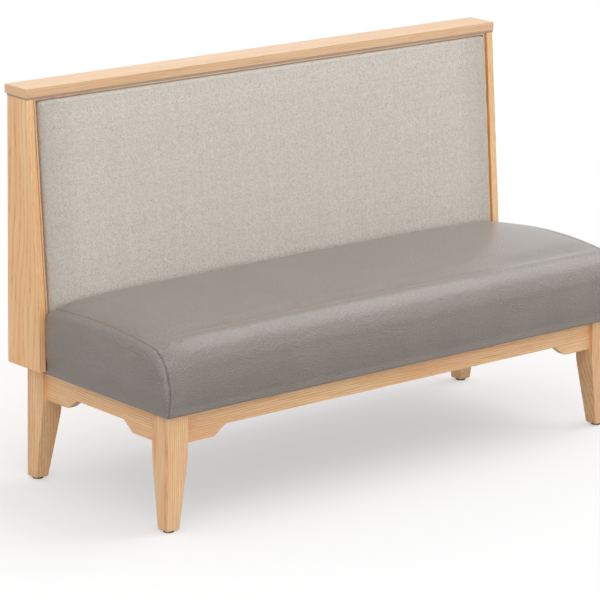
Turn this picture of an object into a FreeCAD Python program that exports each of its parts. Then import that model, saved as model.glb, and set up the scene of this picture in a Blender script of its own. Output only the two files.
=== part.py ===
import FreeCAD, Part
import math
import os

from FreeCAD import Placement, Rotation, Vector

# A restaurant bench: a wooden leg frame, an upholstered seat, and a raked back pad in a wooden box.
# Millimetres, +Z up, origin on the floor under the middle of the bench. The front faces -Y.

# Leg frame
base_length = 1440.0
base_depth = 545.0
base_top = 283.0
leg_width = 60.0
leg_foot_width = 36.0
leg_curve_reach = 27.0
leg_arris_radius = 1.5
leg_foot_chamfer = 3.0
apron_thickness = 24.0
apron_setback = 12.5
apron_height = 50.0
bracket_drop = 25.5
bracket_length = 87.0
bracket_slope_length = 35.0
bracket_corner_radius = 7.0
cross_rail_width = 40.0
cross_rail_height = 45.0
cross_rail_spacing = 480.0
block_height = 45.0
block_band = 44.0
block_leg_clearance = 1.5

# Levelling feet
foot_gap = 4.5
foot_radius = 13.0
foot_height = 3.5
foot_edge_chamfer = 0.8
foot_socket_depth = 2.0
stem_radius = 3.95
stem_reach = 34.0
stem_running_clearance = 0.05
stem_well_clearance = 0.4
collar_radius = 7.0
insert_radius = 6.0
insert_length = 20.0
insert_flange_radius = 9.0
insert_flange_thickness = 1.5

# Boxed back
back_end_overhang = 33.0
back_rear_overhang = 33.0
panel_thickness = 20.0
panel_bottom = 290.0
panel_kink = 431.0
panel_top = 943.0
panel_foot_depth = 126.0
panel_head_depth = 77.0
panel_arris_radius = 1.2
reveal_thickness = 5.0
reveal_projection = 0.5
cap_thickness = 22.0
cap_end_overhang = 2.0
cap_front_overhang = 2.0
cap_rear_overhang = 8.0
cap_arris_radius = 1.2
back_rail_height = 45.0
bottom_rail_inset = 16.0
post_width = 45.0
rear_panel_thickness = 6.0
lipping_thickness = 5.0
lipping_setback = 5.0
lipping_slot = 4.5

# Back pad
pad_recess = 40.0
pad_side_gap = 14.0
pad_top_gap = 2.5
pad_bottom = 420.0
pad_thickness = 48.0
pad_crown = 8.0
pad_roll = 16.0
pad_corner_roll = 10.0
back_board_thickness = 12.0
fabric_thickness = 1.5
fabric_hem = 35.0

# Seat cushion
cushion_overhang = 10.0
cushion_front_swell = 6.5
cushion_height = 188.0
cushion_rear_gap = 2.0
cushion_to_pad_gap = 0.6
cushion_rear_roll = 16.0
cushion_end_setback = 12.0
seat_board_thickness = 18.0
vinyl_thickness = 1.5
vinyl_hem = 55.0
dust_cover_thickness = 0.8
dust_cover_margin = 0.5

# Fastenings
dowel_radius = 5.0
dowel_depth = 25.0
short_dowel_depth = 14.0
dowel_edge_distance = 18.0
cross_dowel_spacing = 24.0
screw_radius = 2.0
screw_head_radius = 4.2
screw_head_height = 2.6
screw_bite = 14.0
board_screw_bite = 9.0
head_well_radius = 5.5
block_screw_seat = 22.0
seat_screw_seat = 25.0
cap_screw_seat = 25.0
pad_screw_seat = 35.0
pad_screw_inset = 33.0
pad_screw_rise = 72.0
screw_to_dowel_gap = 10.0
rear_screw_length = 25.0
bolt_radius = 4.0
bolt_head_radius = 7.2
bolt_head_height = 5.3
bolt_end = 3.0
bolt_edge_distance = 20.0
nut_height = 6.5
washer_radius = 11.0
washer_thickness = 1.6

# Extra length of a cut past the face that it starts from
overrun = 5.0

# Where the cushion's sections stand, as shares of its half length from the end, and how far each has
# swelled from the end section to the middle one
station_shares = (0.0, 0.018, 0.045, 0.1, 0.2, 0.42, 1.0)
swell_shares = (0.0, 0.22, 0.45, 0.67, 0.82, 0.94, 1.0)

# Cushion sections, for the end and for the middle. Face: bulge and shoulder, as shares of the front
# swell outwards and of the height. Top: roll, valley behind it and crown, as shares of the depth and
# of the height. Rear: heights of the three points of the rear roll.
end_face_shares = ((0.25, 0.26), (-0.45, 0.45))
middle_face_shares = ((1.0, 0.32), (0.85, 0.545))
end_top_shares = ((0.046, 0.70), (0.147, 0.832), (0.47, 0.90))
middle_top_shares = ((0.030, 0.825), (0.122, 0.938), (0.52, 1.0))
end_rear_shares = (0.824, 0.787, 0.729)
middle_rear_shares = (0.973, 0.947, 0.888)

# Pad sections: shares of the edge roll, then of the pad's half length, with the rise of the roll
# and of the crown at each
edge_station_shares = (0.0, 0.12, 0.4, 1.0)
edge_rise_shares = (0.06, 0.475, 0.8, 1.0)
edge_crown_shares = (0.05, 0.08, 0.14, 0.24)
field_station_shares = (0.12, 0.35, 1.0)
field_crown_shares = (0.5, 0.85, 1.0)

# Share of a circle's radius between its edge and its middle point, at an eighth of a turn
arc_share = 1 - math.sqrt(0.5)

# Places of fastenings: shares of a post's height, of the back's half length and of the base's depth
panel_screw_shares = (0.15, 0.5, 0.85)
rear_post_screw_shares = (0.15, 0.5, 0.8)
rear_rail_screw_shares = (0.3, 0.62)
cap_screw_shares = (0.22, 0.78)
seat_screw_shares = (0.2, 0.65)

# Places that follow from the sizes above
up = Vector(0, 0, 1)
half_length = base_length / 2
front_reach = cushion_overhang + cushion_front_swell
total_depth = front_reach + base_depth + back_rear_overhang + cap_rear_overhang
leg_front = front_reach - total_depth / 2
leg_rear = leg_front + base_depth
leg_inside = half_length - leg_width
apron_bottom = base_top - apron_height
bracket_bottom = apron_bottom - bracket_drop
apron_inside = apron_setback + apron_thickness
block_bottom = base_top - block_height
block_near = 2 * leg_width + block_leg_clearance
block_far = block_near + block_band * math.sqrt(2)
foot_middle = leg_foot_width / 2
panel_out = half_length + back_end_overhang
panel_in = panel_out - panel_thickness
back_rear = leg_rear + back_rear_overhang
box_rear = back_rear - rear_panel_thickness
panel_foot_front = back_rear - panel_foot_depth
panel_head_front = back_rear - panel_head_depth
rake = math.atan((panel_foot_depth - panel_head_depth) / (panel_top - panel_kink))
reveal_top = panel_top + reveal_thickness
cap_top = reveal_top + cap_thickness
bottom_rail_front = panel_foot_front + bottom_rail_inset
bottom_rail_top = base_top + back_rail_height
top_rail_bottom = panel_top - back_rail_height
lipping_bottom = panel_top - lipping_thickness
post_places = (post_width / 2 - panel_in, 0.0, panel_in - post_width / 2)
pad_half = panel_in - pad_side_gap
pad_top = lipping_bottom - pad_top_gap
pad_reach = pad_thickness + pad_crown
pad_height = (pad_top - pad_bottom - pad_reach * math.sin(rake)) / math.cos(rake)
cushion_half = half_length + cushion_overhang
cushion_front = leg_front - cushion_overhang
cushion_rear = bottom_rail_front - cushion_rear_gap
cushion_depth = cushion_rear - cushion_front
board_bottom = base_top + vinyl_thickness
board_top = board_bottom + seat_board_thickness
bolt_y = bottom_rail_front + bolt_edge_distance


def box(x0, x1, y0, y1, z0, z1):
    """Block between two corners."""
    return Part.makeBox(x1 - x0, y1 - y0, z1 - z0, Vector(x0, y0, z0))


def rod(radius, length, start, direction):
    """Round bar from a point along a direction."""
    return Part.makeCylinder(radius, length, start, direction)


def prism(points, run):
    """Straight prism: a closed outline moved along a run."""
    return Part.Face(Part.makePolygon(points + [points[0]])).extrude(run)


def cut_all(solid, tools):
    """Takes every tool out of a solid."""
    for tool in tools:
        solid = solid.cut(tool)
    return solid.Solids[0]


def other_end(shape):
    """The same piece at the other end of the bench."""
    return shape.mirror(Vector(0, 0, 0), Vector(1, 0, 0))


def other_side(shape):
    """The same piece on the other long side of the leg frame."""
    return shape.mirror(Vector(0, (leg_front + leg_rear) / 2, 0), Vector(0, 1, 0))


def at_corners(piece):
    """One copy of a front left piece for each corner of the leg frame, by corner name."""
    right = other_end(piece)
    return {
        "front_left": piece,
        "front_right": right,
        "rear_left": other_side(piece),
        "rear_right": other_side(right),
    }


def save(name, pieces):
    """Writes one node: one solid, or a group of separate like solids."""
    group = pieces if isinstance(pieces, list) else [pieces]
    shape = group[0] if len(group) == 1 else Part.makeCompound(group)
    shape.exportStep("parts/" + name + ".step")


def runs_along(edge, direction):
    """True for a straight edge along a direction."""
    if len(edge.Vertexes) != 2:
        return False
    run = edge.Vertexes[1].Point - edge.Vertexes[0].Point
    return abs(run.dot(direction)) > 0.999 * edge.Length


def middle_of(edge):
    """Middle point of an edge."""
    return edge.valueAt((edge.FirstParameter + edge.LastParameter) / 2)


def direction_of(edge):
    """Direction of an edge at its middle point."""
    return edge.tangentAt((edge.FirstParameter + edge.LastParameter) / 2)


def screw(head, direction, length):
    """Countersunk screw with its head's flat face at a point."""
    cone = Part.makeCone(screw_head_radius, screw_radius, screw_head_height, head, direction)
    shank_start = head + direction * screw_head_height
    return cone.fuse(rod(screw_radius, length - screw_head_height, shank_start, direction))


def head_well(head, direction, length):
    """Round well through which a screw's head is reached."""
    return rod(head_well_radius, length, head, direction * -1)


def hexagon(radius, height, centre):
    """Six-sided head or nut standing on its centre point."""
    points = []
    for corner in range(6):
        turn = math.radians(60 * corner)
        points.append(centre + Vector(radius * math.cos(turn), radius * math.sin(turn), 0))
    return prism(points, Vector(0, 0, height))


def panel_line(z):
    """Y of the raked line through an end panel's front edge."""
    return panel_foot_front + (z - panel_kink) * math.tan(rake)


def pad_rear(z):
    """Y of the raked plane on which the pad hangs, and which the posts and top rail share."""
    return panel_line(z) + pad_recess / math.cos(rake)


def pad_face(z):
    """Y of the pad's front at its fullest."""
    return pad_rear(z) - pad_reach / math.cos(rake)


def leg_view(to_point, run, margin):
    """One view of a leg: outer face upright, inner face upright, then an arc into the taper.

    The margin widens the outline past the outer face, the top and the foot.
    """
    bend = bracket_bottom - leg_curve_reach
    lean = math.atan((leg_width - leg_foot_width) / (bend - foot_gap))
    sag = leg_curve_reach * math.tan(lean / 4)
    top = base_top + margin
    outer_top = to_point(-margin, top)
    inner_top = to_point(leg_width, top)
    shoulder = to_point(leg_width, bracket_bottom)
    arc_middle = to_point(leg_width - sag * math.cos(lean / 2), bend + sag * math.sin(lean / 2))
    arc_low = bend - leg_curve_reach * math.cos(lean)
    taper_top = to_point(leg_width - leg_curve_reach * math.sin(lean), arc_low)
    inner_foot = to_point(leg_foot_width - margin * math.tan(lean), foot_gap - margin)
    outer_foot = to_point(-margin, foot_gap - margin)
    return Part.Face(Part.Wire([
        Part.makeLine(outer_top, inner_top),
        Part.makeLine(inner_top, shoulder),
        Part.Arc(shoulder, arc_middle, taper_top).toShape(),
        Part.makeLine(taper_top, inner_foot),
        Part.makeLine(inner_foot, outer_foot),
        Part.makeLine(outer_foot, outer_top),
    ])).extrude(run)


def leg_bores():
    """Bores in the front left leg's foot: insert, its flange, and the well for the stem."""
    start = Vector(foot_middle - half_length, leg_front + foot_middle, foot_gap - overrun)
    well_length = overrun + stem_reach + stem_well_clearance
    return [
        rod(insert_flange_radius, overrun + insert_flange_thickness, start, up),
        rod(insert_radius, overrun + insert_length, start, up),
        rod(stem_radius + stem_well_clearance, well_length, start, up),
    ]


def front_left_leg(dowels):
    """Square leg tapered on its two inner faces, with its dowel holes and the bores of its foot."""
    corner = Vector(-half_length, leg_front, 0)
    beside = corner - Vector(overrun, 0, 0)
    front_view = leg_view(lambda w, z: corner + Vector(w, 0, z), Vector(0, leg_width, 0), 0.0)
    side_view = leg_view(
        lambda w, z: beside + Vector(0, w, z), Vector(leg_width + 2 * overrun, 0, 0), overrun
    )
    leg = front_view.common(side_view).Solids[0]
    foot_edges = [e for e in leg.Edges if abs(middle_of(e).z - foot_gap) < leg_arris_radius / 10]
    leg = leg.makeChamfer(leg_foot_chamfer, foot_edges).Solids[0]
    arrises = [e for e in leg.Edges if abs(direction_of(e).z) > 0.9]
    return cut_all(leg.makeFillet(leg_arris_radius, arrises), leg_bores() + dowels)


def apron(length, to_point, run):
    """Apron between two legs: thin along its middle, deeper at its ends, with a slope between."""
    end = length / 2
    flat = end - bracket_length
    slope = flat - bracket_slope_length
    points = [
        to_point(-end, base_top), to_point(end, base_top),
        to_point(end, bracket_bottom), to_point(flat, bracket_bottom),
        to_point(slope, apron_bottom), to_point(-slope, apron_bottom),
        to_point(-flat, bracket_bottom), to_point(-end, bracket_bottom),
    ]
    corners = (to_point(flat, bracket_bottom), to_point(-flat, bracket_bottom))
    board = prism(points, run)
    lower = []
    for edge in board.Edges:
        if runs_along(edge, run.normalize()) and any(distance(edge, p) < leg_arris_radius for p in corners):
            lower.append(edge)
    return board.makeFillet(bracket_corner_radius, lower)


def distance(edge, point):
    """Least distance from an edge to a point."""
    return edge.distToShape(Part.Vertex(point))[0]


def front_apron():
    """Front apron, set back from the legs' front faces."""
    y = leg_front + apron_setback
    return apron(2 * leg_inside, lambda x, z: Vector(x, y, z), Vector(0, apron_thickness, 0))


def left_apron():
    """Left side apron, with the same brackets as the front one."""
    x = apron_setback - half_length
    middle = (leg_front + leg_rear) / 2
    length = base_depth - 2 * leg_width
    return apron(length, lambda y, z: Vector(x, middle + y, z), Vector(apron_thickness, 0, 0))


def apron_dowels():
    """Dowels that join the front left leg to its two aprons, two in each joint."""
    reach = 2 * dowel_depth
    across = apron_setback + apron_thickness / 2
    dowels = []
    for z in (bracket_bottom + dowel_edge_distance, base_top - dowel_edge_distance):
        front_start = Vector(-leg_inside - dowel_depth, leg_front + across, z)
        side_start = Vector(across - half_length, leg_front + leg_width - dowel_depth, z)
        dowels.append(rod(dowel_radius, reach, front_start, Vector(1, 0, 0)))
        dowels.append(rod(dowel_radius, reach, side_start, Vector(0, 1, 0)))
    return dowels


def cross_rail(x):
    """Rail from the front apron to the rear one, under the seat board."""
    front = leg_front + apron_inside
    rear = leg_rear - apron_inside
    half = cross_rail_width / 2
    return box(x - half, x + half, front, rear, base_top - cross_rail_height, base_top)


def cross_rail_dowels(x):
    """Two dowels in each end of a cross rail."""
    z = base_top - cross_rail_height / 2
    reach = short_dowel_depth + dowel_depth
    dowels = []
    for offset in (-cross_dowel_spacing / 2, cross_dowel_spacing / 2):
        start = Vector(x + offset, leg_front + apron_inside - short_dowel_depth, z)
        front = rod(dowel_radius, reach, start, Vector(0, 1, 0))
        dowels.append(front)
        dowels.append(other_side(front))
    return dowels


def corner_block():
    """Block across the front left corner, behind the leg, against both aprons."""
    near = block_near - apron_inside
    far = block_far - apron_inside
    corner = Vector(-half_length, leg_front, block_bottom)
    points = [
        corner + Vector(apron_inside, near, 0), corner + Vector(apron_inside, far, 0),
        corner + Vector(far, apron_inside, 0), corner + Vector(near, apron_inside, 0),
    ]
    return prism(points, Vector(0, 0, block_height))


def block_screws():
    """Screws from the front left corner block into its two aprons, and the wells of their heads."""
    along = (block_near + block_far) / 2 - apron_inside
    z = block_bottom + block_height / 2
    seat = apron_inside + block_screw_seat
    length = block_screw_seat + screw_bite
    corner = Vector(-half_length, leg_front, z)
    screws = []
    wells = []
    for head, direction in (
        (corner + Vector(seat, along, 0), Vector(-1, 0, 0)),
        (corner + Vector(along, seat, 0), Vector(0, -1, 0)),
    ):
        screws.append(screw(head, direction, length))
        wells.append(head_well(head, direction, block_band))
    return screws, wells


def leg_insert():
    """Threaded insert in the front left leg's foot, bored for the stem."""
    base = Vector(foot_middle - half_length, leg_front + foot_middle, foot_gap)
    sleeve = rod(insert_radius, insert_length, base, up)
    flange = rod(insert_flange_radius, insert_flange_thickness, base, up)
    bore = rod(stem_radius + stem_running_clearance, insert_length + 2 * overrun, base - up * overrun, up)
    return sleeve.fuse(flange).cut(bore).removeSplitter()


def foot_stem():
    """Steel stem of the front left foot, with the six-sided collar that stops against the leg."""
    x = foot_middle - half_length
    y = leg_front + foot_middle
    bottom = foot_height - foot_socket_depth
    shank = rod(stem_radius, foot_gap + stem_reach - bottom, Vector(x, y, bottom), up)
    collar = hexagon(collar_radius, foot_gap - foot_height, Vector(x, y, foot_height))
    return shank.fuse(collar).removeSplitter()


def foot_base(stem):
    """Round plastic base of the front left foot, moulded on the end of the stem."""
    centre = Vector(foot_middle - half_length, leg_front + foot_middle, 0)
    base = rod(foot_radius, foot_height, centre, up)
    rim = [e for e in base.Edges if len(e.Vertexes) == 1]
    base = base.makeChamfer(foot_edge_chamfer, rim)
    return base.cut(stem)


def cushion_section(x, swell, inset):
    """Closed outline of the cushion at one place along the bench, drawn in by an inset all round."""
    def mix(pair_a, pair_b):
        return [a + (b - a) * swell for a, b in zip(pair_a, pair_b)]

    bottom = base_top + inset
    front = cushion_front + inset
    rear = cushion_rear - inset
    points = []
    for share, up_share in (mix(a, b) for a, b in zip(end_face_shares, middle_face_shares)):
        points.append(Vector(x, front - share * cushion_front_swell, base_top + up_share * cushion_height))
    for number, pair in enumerate(zip(end_top_shares, middle_top_shares)):
        share, up_share = mix(*pair)
        lift = inset * (1 - arc_share) if number == 0 else inset
        back = inset * (1 - arc_share) if number == 0 else 0
        y = cushion_front + share * cushion_depth + back
        points.append(Vector(x, y, base_top + up_share * cushion_height - lift))
    heights = [base_top + s * cushion_height for s in mix(end_rear_shares, middle_rear_shares)]
    roll_end = pad_face(heights[2]) - cushion_to_pad_gap + cushion_end_setback * (1 - swell)
    points.append(Vector(x, roll_end - cushion_rear_roll, heights[0] - inset))
    points.append(Vector(x, roll_end - cushion_rear_roll * arc_share - inset * arc_share, heights[1] - inset))
    points.append(Vector(x, roll_end - inset, heights[2]))
    bulge, shoulder, roll, valley, crown, rear_top, rear_bend, rear_side = points
    front_low = Vector(x, front, bottom)
    front_board = Vector(x, front, board_top)
    rear_board = Vector(x, rear, board_top)
    rear_low = Vector(x, rear, bottom)
    return Part.Wire([
        Part.makeLine(front_low, front_board),
        Part.Arc(front_board, bulge, shoulder).toShape(),
        Part.Arc(shoulder, roll, valley).toShape(),
        Part.Arc(valley, crown, rear_top).toShape(),
        Part.Arc(rear_top, rear_bend, rear_side).toShape(),
        Part.makeLine(rear_side, rear_board),
        Part.makeLine(rear_board, rear_low),
        Part.makeLine(rear_low, front_low),
    ])


def both_ways(half, stations, values):
    """Places from the left end to the right one, each with its value, from shares of the left half."""
    left = [(half * (share - 1), value) for share, value in zip(stations, values)]
    right = [(-x, value) for x, value in reversed(left[:-1])]
    return left + right


def cushion_form(inset):
    """Swelled body of the cushion, lofted through its sections."""
    places = both_ways(cushion_half - inset, station_shares, swell_shares)
    return Part.makeLoft([cushion_section(x, swell, inset) for x, swell in places], True, False)


def seat_pieces():
    """Vinyl cover, foam, plywood board and dust cover of the seat."""
    outer = cushion_form(0.0)
    inner = cushion_form(vinyl_thickness)
    opening = box(
        vinyl_hem - cushion_half, cushion_half - vinyl_hem,
        cushion_front + vinyl_hem, cushion_rear - vinyl_hem,
        base_top - overrun, board_bottom,
    )
    cover = outer.cut(inner).cut(opening)
    low = inner.BoundBox
    slab = box(low.XMin - overrun, low.XMax + overrun, low.YMin - overrun, low.YMax + overrun,
               base_top, board_top)
    board = inner.common(slab)
    foam = inner.cut(slab)
    margin = vinyl_hem + dust_cover_margin
    dust_cover = box(
        margin - cushion_half, cushion_half - margin,
        cushion_front + margin, cushion_rear - margin,
        board_bottom - dust_cover_thickness, board_bottom,
    )
    return cover, foam, board, dust_cover


def seat_screws():
    """Screws from below into the seat board: one in each block, two in each cross rail."""
    seat = base_top - seat_screw_seat
    length = seat_screw_seat + vinyl_thickness + board_screw_bite
    middle = (block_near + block_far) / 4
    rear_y = leg_rear - 2 * middle + (leg_rear - bolt_y)
    rear_x = half_length - (leg_rear - bolt_y)
    places = [(-half_length + middle, leg_front + middle), (half_length - middle, leg_front + middle)]
    places += [(-rear_x, rear_y), (rear_x, rear_y)]
    for x in (-cross_rail_spacing / 2, cross_rail_spacing / 2):
        places += [(x, leg_front + share * base_depth) for share in seat_screw_shares]
    screws = [screw(Vector(x, y, seat), up, length) for x, y in places]
    wells = [head_well(Vector(x, y, seat), up, block_height) for x, y in places]
    return screws, wells


def end_panel():
    """Left end panel: front edge upright up to the kink, raked above it, with softened arrises."""
    x = -panel_out
    points = [
        Vector(x, panel_foot_front, panel_bottom), Vector(x, back_rear, panel_bottom),
        Vector(x, back_rear, panel_top), Vector(x, panel_head_front, panel_top),
        Vector(x, panel_foot_front, panel_kink),
    ]
    board = prism(points, Vector(panel_thickness, 0, 0))
    top = panel_top - panel_arris_radius
    soft = [e for e in board.Edges if middle_of(e).z < top and not runs_along(e, Vector(1, 0, 0))]
    return board.makeFillet(panel_arris_radius, soft)


def back_beam(z_low, z_high, front_low, front_high, half):
    """Rail of the back between the end panels, with its front on the raked plane or upright."""
    points = [
        Vector(-half, front_low, z_low), Vector(-half, box_rear, z_low),
        Vector(-half, box_rear, z_high), Vector(-half, front_high, z_high),
    ]
    return prism(points, Vector(2 * half, 0, 0))


def back_post(x):
    """Post between the rails of the back, its front on the raked plane, its rear upright."""
    post = back_beam(
        bottom_rail_top, top_rail_bottom, pad_rear(bottom_rail_top), pad_rear(top_rail_bottom), post_width / 2
    )
    post.translate(Vector(x, 0, 0))
    return post


def side_lipping():
    """Thin strip that stands on the left post, behind a narrow slot beside the end panel."""
    x = lipping_slot - panel_in
    points = []
    for z, lift in ((pad_bottom, 1), (lipping_bottom, 1), (lipping_bottom, 0), (pad_bottom, 0)):
        y = panel_line(z) + lipping_setback if lift else pad_rear(z)
        points.append(Vector(x, y, z))
    return prism(points, Vector(lipping_thickness, 0, 0))


def top_lipping():
    """Thin strip under the reveal strip, on the front of the top rail."""
    front = panel_line(lipping_bottom) + lipping_setback
    x = lipping_slot - panel_in
    points = [
        Vector(x, front, lipping_bottom), Vector(x, pad_rear(lipping_bottom), lipping_bottom),
        Vector(x, pad_rear(panel_top), panel_top), Vector(x, front, panel_top),
    ]
    return prism(points, Vector(-2 * x, 0, 0))


def reveal_strip():
    """Thin grey packing strip between the end panels and the cap."""
    half = panel_out + reveal_projection
    front = panel_head_front - reveal_projection
    return box(-half, half, front, back_rear + reveal_projection, panel_top, reveal_top)


def cap_rail():
    """Cap along the top of the back, with softened arrises."""
    half = panel_out + cap_end_overhang
    front = panel_head_front - cap_front_overhang
    cap = box(-half, half, front, back_rear + cap_rear_overhang, reveal_top, cap_top)
    return cap.makeFillet(cap_arris_radius, cap.Edges)


def pad_section(x, rise, crown, shrink, inset):
    """Closed outline of the pad, upright, before it is turned to the rake. The front faces -Y."""
    side = pad_thickness - pad_roll - inset
    face = side + pad_roll * rise
    low = pad_corner_roll * shrink + inset
    high = pad_height - low
    run = pad_roll - inset
    bend = side + (face - side) * (1 - arc_share)
    return Part.Wire([
        Part.makeLine(Vector(x, -inset, low), Vector(x, -side, low)),
        Part.Arc(Vector(x, -side, low), Vector(x, -bend, low + run * arc_share),
                 Vector(x, -face, low + run)).toShape(),
        Part.Arc(Vector(x, -face, low + run), Vector(x, -face - pad_crown * crown, pad_height / 2),
                 Vector(x, -face, high - run)).toShape(),
        Part.Arc(Vector(x, -face, high - run), Vector(x, -bend, high - run * arc_share),
                 Vector(x, -side, high)).toShape(),
        Part.makeLine(Vector(x, -side, high), Vector(x, -inset, high)),
        Part.makeLine(Vector(x, -inset, high), Vector(x, -inset, low)),
    ])


def pad_form(inset):
    """Swelled body of the pad, lofted through its sections and turned to the rake."""
    edge_share = pad_roll / pad_half
    stations = [share * edge_share for share in edge_station_shares] + list(field_station_shares)
    crowns = list(edge_crown_shares) + list(field_crown_shares)
    rises = list(edge_rise_shares) + [1.0] * len(field_station_shares)
    values = list(zip(rises, crowns))
    sections = []
    for x, (rise, crown) in both_ways(pad_half - inset, stations, values):
        sections.append(pad_section(x, rise, crown, 1 - rise, inset))
    return Part.makeLoft(sections, True, False)


def pad_pieces():
    """Woven cover, foam and plywood board of the back pad."""
    outer = pad_form(0.0)
    inner = pad_form(fabric_thickness)
    board_front = fabric_thickness + back_board_thickness
    slab = box(-pad_half, pad_half, -board_front, 0, 0, pad_height)
    board = inner.common(slab)
    foam = inner.cut(slab)
    opening = box(
        fabric_hem - pad_half, pad_half - fabric_hem, -fabric_thickness, overrun,
        fabric_hem, pad_height - fabric_hem,
    )
    cover = outer.cut(inner).cut(opening)
    place = Placement(
        Vector(0, pad_rear(pad_bottom), pad_bottom), Rotation(Vector(1, 0, 0), -math.degrees(rake))
    )
    pieces = []
    for piece in (cover, foam, board):
        piece.Placement = place.multiply(piece.Placement)
        pieces.append(piece)
    return pieces


def panel_screws():
    """Screws from the end posts into the end panels, along X."""
    screws = []
    for share in panel_screw_shares:
        z = bottom_rail_top + share * (top_rail_bottom - bottom_rail_top)
        y = (pad_rear(z) + box_rear) / 2
        left = screw(Vector(post_width - panel_in, y, z), Vector(-1, 0, 0), post_width + screw_bite)
        screws.append(left)
        screws.append(other_end(left))
    return screws


def rail_dowels():
    """Dowels from both rails of the back into the end panels."""
    top_y = (pad_rear(top_rail_bottom) + box_rear) / 2
    middle_z = base_top + back_rail_height / 2
    places = [
        (bottom_rail_front + dowel_edge_distance, middle_z), (box_rear - dowel_edge_distance, middle_z),
        (top_y, top_rail_bottom + back_rail_height / 4), (top_y, panel_top - back_rail_height / 4),
    ]
    dowels = []
    for y, z in places:
        start = Vector(-panel_in - short_dowel_depth, y, z)
        left = rod(dowel_radius, 2 * short_dowel_depth, start, Vector(1, 0, 0))
        dowels.append(left)
        dowels.append(other_end(left))
    return dowels


def post_dowels():
    """Dowels between each post and the two rails."""
    top_y = (pad_rear(top_rail_bottom) + box_rear) / 2
    bottom_places = (pad_rear(bottom_rail_top) + dowel_edge_distance, box_rear - dowel_edge_distance)
    dowels = []
    for x in post_places:
        for y in bottom_places:
            dowels.append(rod(dowel_radius, 2 * dowel_depth, Vector(x, y, bottom_rail_top - dowel_depth), up))
        dowels.append(rod(dowel_radius, 2 * dowel_depth, Vector(x, top_y, top_rail_bottom - dowel_depth), up))
    return dowels


def cap_screws():
    """Screws from the top rail, through the reveal strip, into the cap."""
    z = panel_top - cap_screw_seat
    y = (pad_rear(z) + box_rear) / 2
    length = cap_screw_seat + reveal_thickness + screw_bite
    screws = []
    wells = []
    for share in cap_screw_shares:
        for x in (-share * panel_in, share * panel_in):
            screws.append(screw(Vector(x, y, z), up, length))
            wells.append(head_well(Vector(x, y, z), up, back_rail_height))
    return screws, wells


def pad_screws():
    """Screws from behind, through the posts, into the pad's board."""
    length = pad_screw_seat + fabric_thickness + board_screw_bite
    forward = Vector(0, -1, 0)
    screws = []
    wells = []
    for z in (pad_bottom + pad_screw_rise, top_rail_bottom - dowel_depth - screw_to_dowel_gap):
        for x in (pad_screw_inset - panel_in, 0.0, panel_in - pad_screw_inset):
            head = Vector(x, pad_rear(z) + pad_screw_seat, z)
            screws.append(screw(head, forward, length))
            wells.append(head_well(head, forward, panel_foot_depth))
    return screws, wells


def rear_screws():
    """Screws that hold the rear panel on the posts and rails."""
    forward = Vector(0, -1, 0)
    places = []
    for share in rear_post_screw_shares:
        z = bottom_rail_top + share * (top_rail_bottom - bottom_rail_top)
        places += [(x, z) for x in post_places]
    for z in (base_top + back_rail_height / 2, panel_top - back_rail_height / 2):
        for share in rear_rail_screw_shares:
            places += [(-share * panel_in, z), (share * panel_in, z)]
    return [screw(Vector(x, back_rear, z), forward, rear_screw_length) for x, z in places]


def bolt_places():
    """Places of the bolts that hold the back on the base: rear corner blocks and cross rails."""
    block_x = half_length - (block_near + block_far) / 2 + (leg_rear - bolt_y)
    return (-block_x, -cross_rail_spacing / 2, cross_rail_spacing / 2, block_x)


def back_bolts():
    """Bolts up through the blocks and cross rails and the bottom rail, with washers and nuts."""
    bolts = []
    washers = []
    nuts = []
    low = block_bottom - washer_thickness
    high = bottom_rail_top + washer_thickness
    for x in bolt_places():
        shank = rod(bolt_radius, high + nut_height + bolt_end - low, Vector(x, bolt_y, low), up)
        head = hexagon(bolt_head_radius, bolt_head_height, Vector(x, bolt_y, low - bolt_head_height))
        bolt = head.fuse(shank).removeSplitter()
        bolts.append(bolt)
        for z in (low, bottom_rail_top):
            washers.append(rod(washer_radius, washer_thickness, Vector(x, bolt_y, z), up).cut(bolt))
        nuts.append(hexagon(bolt_head_radius, nut_height, Vector(x, bolt_y, high)).cut(bolt))
    return bolts, washers, nuts


def make_base(bolts, board_screws, board_wells):
    """Legs, aprons, cross rails, corner blocks and what joins them."""
    corner_dowels = apron_dowels()
    for name, leg in at_corners(front_left_leg(corner_dowels)).items():
        save("leg_" + name, leg)
    dowels = []
    for dowel in corner_dowels:
        dowels += list(at_corners(dowel).values())
    save("apron_dowels", dowels)

    screws, wells = block_screws()
    all_screws = []
    for piece in screws:
        all_screws += list(at_corners(piece).values())
    save("corner_block_screws", all_screws)

    rail_places = (-cross_rail_spacing / 2, cross_rail_spacing / 2)
    rail_pegs = []
    for x in rail_places:
        rail_pegs += cross_rail_dowels(x)
    save("cross_rail_dowels", rail_pegs)

    front = front_apron()
    left = left_apron()
    for name, piece in (
        ("front_apron", front), ("rear_apron", other_side(front)),
        ("side_apron_left", left), ("side_apron_right", other_end(left)),
    ):
        save(name, cut_all(piece, dowels + rail_pegs + all_screws))

    fixings = rail_pegs + bolts + board_screws + board_wells
    for x, name in zip(rail_places, ("cross_rail_left", "cross_rail_right")):
        save(name, cut_all(cross_rail(x), fixings))

    block = cut_all(corner_block(), screws + wells)
    blocks = [cut_all(b, bolts + board_screws + board_wells) for b in at_corners(block).values()]
    save("corner_blocks", blocks)


def make_feet():
    """Threaded inserts, and the stem and base of each foot."""
    save("leg_inserts", list(at_corners(leg_insert()).values()))
    stem = foot_stem()
    base = foot_base(stem)
    for name, piece in at_corners(stem).items():
        save("foot_stem_" + name, piece)
    for name, piece in at_corners(base).items():
        save("foot_base_" + name, piece)


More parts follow.
